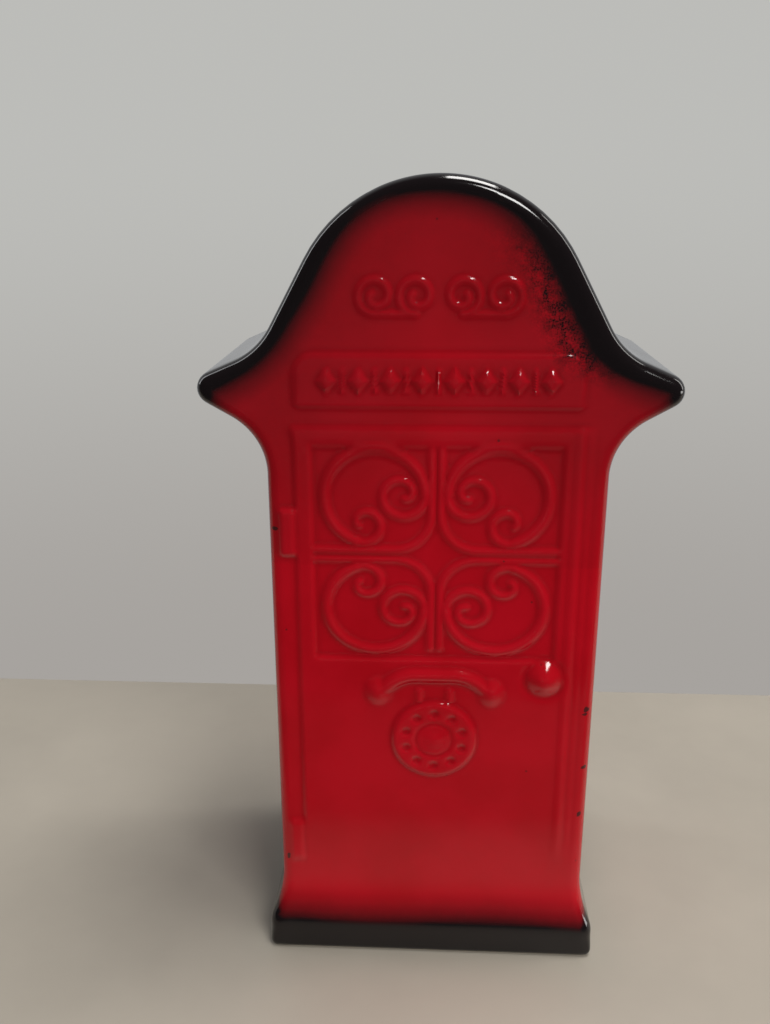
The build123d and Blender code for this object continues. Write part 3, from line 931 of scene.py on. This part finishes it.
def stored(name):
    """A value stored on the mesh."""
    return place(tree, "ShaderNodeAttribute", {"attribute_name": name}).outputs["Fac"]


deep_red = (0.375, 0.0016, 0.0070, 1)
full_red = (0.430, 0.0024, 0.0100, 1)
thin_red = (0.50, 0.010, 0.020, 1)
pooled_red = (0.27, 0.0012, 0.0050, 1)
spray_black = (0.0060, 0.0040, 0.0046, 1)
pit_brown = (0.03, 0.008, 0.008, 1)
bare_clay = (0.62, 0.56, 0.47, 1)
dusty_clay = (0.50, 0.43, 0.35, 1)

red = blend(tree, seated(tree, drift)["Share"], deep_red, full_red)
thin_share = maths(tree, "MULTIPLY", maths(tree, "MAXIMUM", stored("thin"), 0.0), 0.14)
pooled = maths(tree, "MAXIMUM", maths(tree, "MULTIPLY", stored("thin"), -1.0), 0.0)
pool_share = maths(tree, "MULTIPLY", pooled, 0.6)
red = blend(tree, thin_share, red, thin_red)
red = blend(tree, pool_share, red, pooled_red)
print("reds", full_red[:3], deep_red[:3])

# %% Spray, pits and bare clay over the red
ragged = maths(tree, "MULTIPLY_ADD", stored("blotch"), 0.7, 0.03)
covered = seated(tree, droplets, Cover=stored("spray"), Ragged=ragged)["Mask"]
painted = blend(tree, covered, red, spray_black)
cells = place(tree, "ShaderNodeTexVoronoi", None, Vector=object_space(tree), Scale=260)
pit_zone = remap(tree, noise(tree, 90, 2), 0.60, 0.72)
pits = maths(tree, "MULTIPLY", remap(tree, cells.outputs["Distance"], 0.10, 0.05), pit_zone)
chipped = remap(tree, stored("chips"), 0.35, 0.6, 0.0, 0.9)
marks = maths(tree, "MAXIMUM", maths(tree, "MULTIPLY", pits, 0.8), chipped)
painted = blend(tree, marks, painted, pit_brown)
clay = seated(tree, droplets, Cover=stored("bare"), Ragged=0.10)["Mask"]
clay_tone = blend(tree, remap(tree, noise(tree, 300, 5, 0.65), 0.3, 0.7), bare_clay, dusty_clay)
tree.links.new(blend(tree, clay, painted, clay_tone), shader.inputs["Base Color"])
print("colour nodes", len(tree.nodes))

# %% Shine and surface of the glaze
gloss = remap(tree, noise(tree, 130, 4, 0.6), 0.25, 0.8, 0.10, 0.19)
rough = maths(tree, "ADD", maths(tree, "MULTIPLY", clay, 0.7), gloss)
tree.links.new(rough, shader.inputs["Roughness"])
tree.links.new(maths(tree, "SUBTRACT", 1.0, clay), shader.inputs["Coat Weight"])
shader.inputs["Coat Roughness"].default_value = 0.10
shader.inputs["Coat IOR"].default_value = 1.5
shader.inputs["IOR"].default_value = 1.45
shader.inputs["Specular IOR Level"].default_value = 0.02
waves = seated(tree, ripples, Size=420.0)["Height"]
surface = maths(tree, "SUBTRACT", waves, maths(tree, "MULTIPLY", pits, 0.8))
grit = maths(tree, "MULTIPLY", clay, noise(tree, 1500, 4, 0.7))
surface = maths(tree, "ADD", surface, grit)
bumped = place(tree, "ShaderNodeBump", None, Strength=0.28, Distance=0.00035, Height=surface)
tree.links.new(bumped.outputs[0], shader.inputs["Normal"])
glazed_shell.data.materials.clear()
glazed_shell.data.materials.append(glaze)
print("glaze nodes", len(tree.nodes))

# %% [markdown]
# ## Metals and rubber of the trap
# The trap is pressed from zinc-plated sheet, the barrel and its sleeve are turned
# brass, the disc, clip and bolts are bare stamped steel, and the rivets aluminium. Their
# shapes come from the frame. Each metal is one recipe with its own numbers: a base
# colour, a stained tone, handling scratches, and fine surface grain in the bump.

# %% One recipe for the metals
def metal(name, clean, stained, gloss_range, scratch_amount, grain_scale, grain_stretch):
    """A worn metal: stain changes the colour, scratches change the shine."""
    material = bpy.data.materials.new(name)
    material.use_nodes = True
    tree = material.node_tree
    face = tree.nodes["Principled BSDF"]
    worn = seated(tree, scratches, Amount=scratch_amount)
    toned = seated(tree, drift)["Share"]
    stain = maths(tree, "MULTIPLY", worn["Stain"], maths(tree, "MULTIPLY_ADD", toned, 0.5, 0.4))
    colour = blend(tree, stain, clean, stained)
    bright = tuple(min(1.0, channel * 1.25) for channel in clean[:3]) + (1,)
    tree.links.new(blend(tree, worn["Strokes"], colour, bright), face.inputs["Base Color"])
    shine = remap(tree, stain, 0.0, 0.8, *gloss_range)
    shine = maths(tree, "SUBTRACT", shine, maths(tree, "MULTIPLY", worn["Strokes"], 0.1))
    tree.links.new(shine, face.inputs["Roughness"])
    face.inputs["Metallic"].default_value = 1.0
    grain = noise(tree, grain_scale, 3, 0.6, grain_stretch)
    height = maths(tree, "SUBTRACT", grain, maths(tree, "MULTIPLY", worn["Strokes"], 0.6))
    bump = place(tree, "ShaderNodeBump", None, Strength=0.25, Distance=0.00005, Height=height)
    tree.links.new(bump.outputs[0], face.inputs["Normal"])
    return material


plated_steel = metal("zinc_plated_sheet", (0.58, 0.59, 0.57, 1), (0.38, 0.36, 0.31, 1),
                     (0.28, 0.5), 0.5, 2200, (1, 1, 1))
bare_steel = metal("stamped_steel", (0.46, 0.46, 0.46, 1), (0.24, 0.20, 0.17, 1),
                   (0.3, 0.55), 0.7, 3000, (1, 0.1, 1))
brass = metal("turned_brass", (0.70, 0.50, 0.21, 1), (0.36, 0.24, 0.10, 1),
              (0.2, 0.42), 0.4, 3500, (0.3, 0.3, 3))
rivet_metal = metal("set_aluminium", (0.76, 0.76, 0.77, 1), (0.52, 0.51, 0.50, 1),
                    (0.3, 0.45), 0.4, 1800, (1, 1, 1))
print("metals", [material.name for material in (plated_steel, bare_steel, brass, rivet_metal)])

# %% Rubber for the gasket
rubber = bpy.data.materials.new("black_rubber")
rubber.use_nodes = True
tree = rubber.node_tree
shader = tree.nodes["Principled BSDF"]
tone = seated(tree, drift)["Share"]
dusty = maths(tree, "MULTIPLY", remap(tree, noise(tree, 900, 4, 0.6), 0.55, 0.8), 0.5)
colour = blend(tree, tone, (0.016, 0.016, 0.017, 1), (0.030, 0.029, 0.028, 1))
tree.links.new(blend(tree, dusty, colour, (0.12, 0.115, 0.105, 1)), shader.inputs["Base Color"])
tree.links.new(remap(tree, tone, 0, 1, 0.62, 0.8), shader.inputs["Roughness"])
bump = place(tree, "ShaderNodeBump", None, Strength=0.3, Distance=0.00004,
             Height=noise(tree, 2800, 3, 0.6))
tree.links.new(bump.outputs[0], shader.inputs["Normal"])
print("rubber nodes", len(tree.nodes))

# %% Put the finishes on the frame's own pieces
finishes = {
    "trap_plate": plated_steel, "lock_case": plated_steel, "trap_gasket": rubber,
    "barrel_sleeve": brass, "key_barrel": brass, "case_rivets": rivet_metal,
    "drive_disc": bare_steel, "spring_washer": bare_steel, "barrel_clip": bare_steel,
    "bolt_left": bare_steel, "bolt_right": bare_steel,
}
for name, finish in finishes.items():
    node = nodes[name]
    if node.material_slots:
        for slot in node.material_slots:
            slot.material = finish
    else:
        node.data.materials.append(finish)
print("finishes on", len(finishes), "pieces")

# %% [markdown]
# ## Table, light and camera
# A pale table top with a far edge, and a pale plain room behind it. From below the
# table is clear, so that the trap can be looked at when it comes down. Broad soft
# lights suit a glossy piece, because it mirrors them as wide gentle highlights: a
# panel overhead and one like a window in front do most of the work. Strips to the left
# and right draw the thin bright line along the roof's rounded edge, and a low one gives
# the plinth's corner its spot. The table in front of the booth has a painted shadow that
# only the gloss sees, so that the door keeps its full red. The camera is close and
# looks down a little, which makes the booth taper towards its foot.

# %% The table top
table_half, table_front, table_back = 900, -150, 103
table_top = mesh_object("table_top", [
    (-table_half, table_front, 0), (table_half, table_front, 0),
    (table_half, table_back, 0), (-table_half, table_back, 0)], [[0, 1, 2, 3]])
table_finish = bpy.data.materials.new("pale_table")
table_finish.use_nodes = True
tree = table_finish.node_tree
shader = tree.nodes["Principled BSDF"]
cloudy = remap(tree, noise(tree, 9, 5, 0.6), 0.3, 0.7)
top_colour = blend(tree, cloudy, (0.335, 0.303, 0.254, 1), (0.385, 0.348, 0.292, 1))
where = place(tree, "ShaderNodeSeparateXYZ", None, i0=object_space(tree)).outputs
in_gloss = tree.nodes.new("ShaderNodeLightPath").outputs["Is Glossy Ray"]
# Painted shadow: seen in the gloss, the table turns almost black in front of the booth, fully so from 85 mm
# ahead of the middle.
painted_shadow_front = maths(tree, "MULTIPLY", remap(tree, where[1], -0.085, -0.03, 1.0, 0.0), in_gloss)
tree.links.new(blend(tree, painted_shadow_front, top_colour, (0.05, 0.047, 0.042, 1)), shader.inputs["Base Color"])
shader.inputs["Roughness"].default_value = 0.5
from_below = tree.nodes.new("ShaderNodeNewGeometry").outputs["Backfacing"]
seen_through = place(tree, "ShaderNodeMixShader", None, i0=from_below)
tree.links.new(shader.outputs[0], seen_through.inputs[1])
tree.links.new(tree.nodes.new("ShaderNodeBsdfTransparent").outputs[0], seen_through.inputs[2])
tree.links.new(seen_through.outputs[0], tree.nodes["Material Output"].inputs["Surface"])
table_top.data.materials.append(table_finish)
print("table edge", table_back, "mm behind the middle")

# %% The room's light: a pale wall behind, a dimmer room in front
world = bpy.data.worlds.new("pale_room")
bpy.context.scene.world = world
world.use_nodes = True
tree = world.node_tree
tree.nodes.clear()
direction = tree.nodes.new("ShaderNodeTexCoord").outputs["Generated"]
heading = place(tree, "ShaderNodeSeparateXYZ", None, i0=direction).outputs
# The wall seen behind is painted darker towards the table, painted shade; only the camera sees it and it
# lights nothing.
wall_low, wall_high = (0.385, 0.365, 0.345, 1), (0.505, 0.505, 0.485, 1)
wall_tone = blend(tree, remap(tree, heading[2], -0.45, 0.05), wall_low, wall_high)
seen = place(tree, "ShaderNodeBackground", None, Color=wall_tone, Strength=1.0)
behind = maths(tree, "MULTIPLY_ADD", remap(tree, heading[1], -0.1, 0.5), 0.36, 0.045)
lighting = place(tree, "ShaderNodeBackground", None, Color=(0.98, 0.99, 1.0, 1), Strength=behind)
ray = tree.nodes.new("ShaderNodeLightPath").outputs["Is Camera Ray"]
mixed = place(tree, "ShaderNodeMixShader", None, i0=ray)
tree.links.new(lighting.outputs[0], mixed.inputs[1])
tree.links.new(seen.outputs[0], mixed.inputs[2])
tree.links.new(mixed.outputs[0], tree.nodes.new("ShaderNodeOutputWorld").inputs[0])
print("world nodes", len(tree.nodes))


# %% Soft panels
def panel(name, place_m, aim_m, size, power, colour, mirrored=True):
    """A rectangular area light that looks at a point, seen in the gloss or not."""
    light = bpy.data.lights.new(name, "AREA")
    light.shape = "RECTANGLE"
    light.size, light.size_y = size
    light.energy = power
    light.color = colour
    lamp = bpy.data.objects.new(name, light)
    lamp.location = place_m
    lamp.rotation_euler = (Vector(aim_m) - Vector(place_m)).to_track_quat("-Z", "Y").to_euler()
    lamp.visible_glossy = mirrored
    bpy.context.scene.collection.objects.link(lamp)
    return lamp


panel("overhead_panel", (0.16, -0.02, 0.85), (0, -0.02, 0.05), (0.30, 0.26), 4.3, (1.0, 0.98, 0.95))
panel("window_panel", (0.34, -0.62, 0.72), (0, 0, 0.09), (0.34, 0.20), 4.3, (1.0, 0.99, 0.97))
panel("right_strip", (0.70, 0.10, 0.44), (0, 0, 0.12), (0.12, 0.62), 1.1, (1.0, 0.98, 0.95))
panel("low_right_window", (0.85, -0.09, 0.05), (0, 0, 0.03), (0.30, 0.12), 0.8, (1.0, 0.99, 0.96))
panel("left_strip", (-0.66, 0.12, 0.50), (0, 0, 0.12), (0.12, 0.60), 0.9, (0.97, 0.98, 1.0))
panel("front_fill", (0.10, -0.70, 0.06), (0, 0, 0.06), (0.9, 0.3), 2.0, (1.0, 0.97, 0.94), mirrored=False)

# %% The camera
lens_view = bpy.data.cameras.new("camera")
lens_view.lens = 34.35
lens_view.sensor_width = 36
lens_view.clip_start = 0.01
camera = bpy.data.objects.new("camera", lens_view)
camera.location = (-0.00104, -0.2231, 0.1772)
camera.rotation_euler = (math.radians(71.665), math.radians(0.109), math.radians(2.829))
bpy.context.scene.collection.objects.link(camera)
bpy.context.scene.camera = camera
bpy.context.scene.view_settings.view_transform = "Standard"
